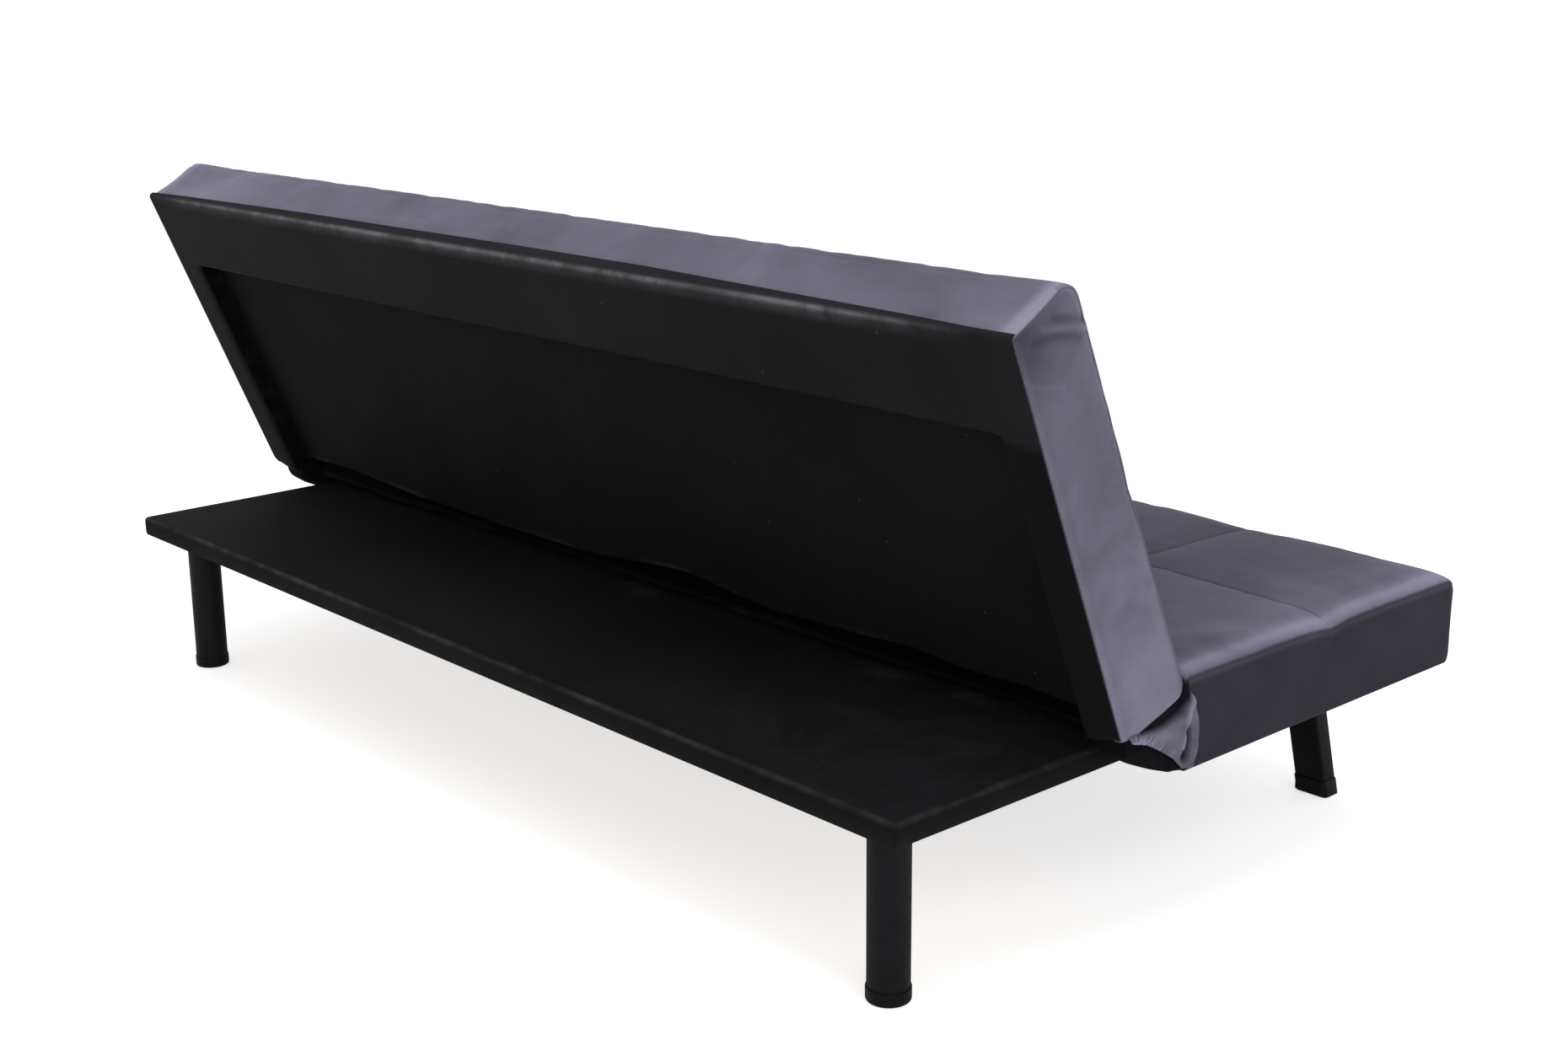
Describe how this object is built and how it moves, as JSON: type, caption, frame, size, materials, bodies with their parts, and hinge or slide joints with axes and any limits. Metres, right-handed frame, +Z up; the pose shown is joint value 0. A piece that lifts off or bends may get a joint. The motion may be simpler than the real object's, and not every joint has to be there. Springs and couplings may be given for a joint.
{
  "type": "click clack sofa bed",
  "caption": "Click clack sofa bed: quilted seat and folding backrest on a cloth-covered base deck with round rear and raked front legs.",
  "frame": {"origin": "on the floor, under the middle of the sofa's footprint", "axes": "+X along the length towards the right-hand end for someone who stands in front, -Y towards the front of the seat, +Z up"},
  "size_m": [1.8, 0.94, 0.7779],
  "materials": {
    "velvet": "matte",
    "black_cloth": "matte",
    "pine": "matte",
    "plywood": "matte",
    "foam": "matte",
    "leg_wood": "satin",
    "black_plastic": "satin",
    "steel": "satin"
  },
  "bodies": {
    "base": {"deck_cover": "black_cloth", "deck_front_rail": "pine", "deck_rear_rail": "pine", "deck_side_rail_right": "pine", "deck_side_rail_left": "pine", "deck_cross_rail": "pine", "deck_panel": "plywood", "rear_leg_right": "leg_wood", "rear_leg_left": "leg_wood", "rear_leg_cap_right": "black_plastic", "rear_leg_cap_left": "black_plastic", "rear_leg_bolt_right": "steel", "rear_leg_bolt_left": "steel", "rear_corner_block_right": "pine", "rear_corner_block_left": "pine", "front_leg_right": "leg_wood", "front_leg_left": "leg_wood", "front_leg_cap_right": "black_plastic", "front_leg_cap_left": "black_plastic", "front_leg_bolt_right": "steel", "front_leg_bolt_left": "steel", "front_corner_block_right": "pine", "front_corner_block_left": "pine", "seat_side_rail_right": "pine", "seat_side_rail_left": "pine", "seat_front_rail": "pine", "seat_rear_rail": "pine", "seat_cross_rail_right": "pine", "seat_cross_rail_left": "pine", "seat_board": "plywood", "seat_foam": "foam", "seat_cover": "velvet", "seat_arm_right": "steel", "seat_arm_left": "steel", "cheek_plate_right": "steel", "cheek_plate_left": "steel", "pivot_rivet_right": "steel", "pivot_rivet_left": "steel", "pawl_pin_right": "steel", "pawl_pin_left": "steel", "pawl_spring_right": "steel", "pawl_spring_left": "steel", "joint_gusset": "black_cloth", "end_gusset_right": "velvet", "end_gusset_left": "velvet"},
    "backrest": {"back_side_rail_right": "pine", "back_side_rail_left": "pine", "back_top_rail": "pine", "back_middle_rail": "pine", "back_bottom_rail": "pine", "back_upright_right": "pine", "back_upright_left": "pine", "back_board": "plywood", "back_foam": "foam", "back_cover": "velvet", "back_dust_cover": "black_cloth", "back_arm_right": "steel", "back_arm_left": "steel"},
    "pawl_right": {"pawl_right": "steel"},
    "pawl_left": {"pawl_left": "steel"}
  },
  "joints": [
    {"name": "backrest_fold", "type": "hinge", "parent": "base", "child": "backrest", "pos_m": [0, 0.103, 0.313], "axis": [-1, 0, 0], "range_deg": [-12, 67.8], "deforming": ["joint_gusset", "end_gusset_right", "end_gusset_left"]},
    {"name": "pawl_right_lift", "type": "hinge", "parent": "base", "child": "pawl_right", "pos_m": [0.8831, 0.069, 0.263], "axis": [-1, 0, 0], "range_deg": [0, 9], "stiffness_Nm_per_rad": 0.4, "springref_deg": -17.19, "deforming": ["pawl_spring_right"]},
    {"name": "pawl_left_lift", "type": "hinge", "parent": "base", "child": "pawl_left", "pos_m": [-0.8831, 0.069, 0.263], "axis": [-1, 0, 0], "range_deg": [0, 9], "stiffness_Nm_per_rad": 0.4, "springref_deg": -17.19, "deforming": ["pawl_spring_left"]}
  ]
}
